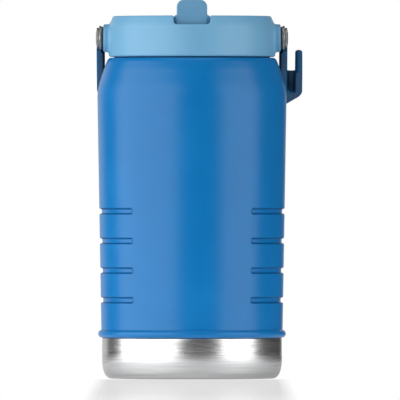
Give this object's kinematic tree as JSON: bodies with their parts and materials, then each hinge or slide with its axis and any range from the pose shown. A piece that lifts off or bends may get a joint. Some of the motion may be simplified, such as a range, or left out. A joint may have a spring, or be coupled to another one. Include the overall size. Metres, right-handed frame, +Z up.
{
  "type": "large water jug",
  "caption": "Large double-wall steel water jug with a screw lid, flip spout and drinking straw, and a swinging carry handle with a fence hook.",
  "frame": {"origin": "centre of the base on the table, on the jug's own axis", "axes": "+Z up along the jug's axis, -Y towards the drinking side where the thumb tab is, +X towards the side that carries the fence hook"},
  "size_m": [0.1427, 0.1469, 0.2608],
  "materials": {
    "shell_paint": "satin powder coat",
    "base_steel": "fine horizontal brush",
    "liner_steel": "satin",
    "getter_metal": "sintered",
    "seal_bead": "fused",
    "silicone": "matte",
    "lid_plastic": "fine satin",
    "plug_plastic": "satin",
    "spout_plastic": "satin",
    "straw_plastic": "translucent",
    "insert_brass": "turned",
    "bright_steel": "polished stainless",
    "washer_black": "matte",
    "handle_plastic": "satin"
  },
  "bodies": {
    "jug": {"outer_shell": "shell_paint", "base_cup": "base_steel", "base_cover_disc": "base_steel", "vacuum_seal_plug": "seal_bead", "getter": "getter_metal", "inner_liner": "liner_steel"},
    "gasket": {"lid_gasket": "silicone"},
    "lid": {"lid_shell": "lid_plastic", "lid_plug": "plug_plastic", "straw_socket": "silicone", "vent_valve": "silicone", "spout_seal": "silicone", "spout_pins": "bright_steel", "straw_tube": "straw_plastic", "pivot_insert_left": "insert_brass", "pivot_insert_right": "insert_brass", "pivot_bolt_left": "bright_steel", "pivot_bolt_right": "bright_steel", "pivot_washer_left": "washer_black", "pivot_washer_right": "washer_black"},
    "spout": {"spout": "spout_plastic"},
    "handle": {"handle_frame": "handle_plastic", "handle_lug_left": "bright_steel", "handle_lug_right": "bright_steel"}
  },
  "joints": [
    {"name": "lid_lift", "type": "slide", "parent": "jug", "child": "gasket", "axis": [0, 0, 1], "range_m": [0, 0.02401]},
    {"name": "lid_turn", "type": "hinge", "parent": "gasket", "child": "lid", "pos_m": [0, 0, 0.2348], "axis": [0, 0, 1], "range_deg": [0, 720]},
    {"name": "spout_flip", "type": "hinge", "parent": "lid", "child": "spout", "pos_m": [0, 0.006, 0.242], "axis": [-1, 0, 0], "range_deg": [0, 95]},
    {"name": "handle_swing", "type": "hinge", "parent": "lid", "child": "handle", "pos_m": [0, 0, 0.2348], "axis": [1, 0, 0], "range_deg": [0, 240]}
  ],
  "couplings": [
    {"joint": "lid_lift", "follows": "lid_turn", "m_per_rad": 0.0019099}
  ]
}
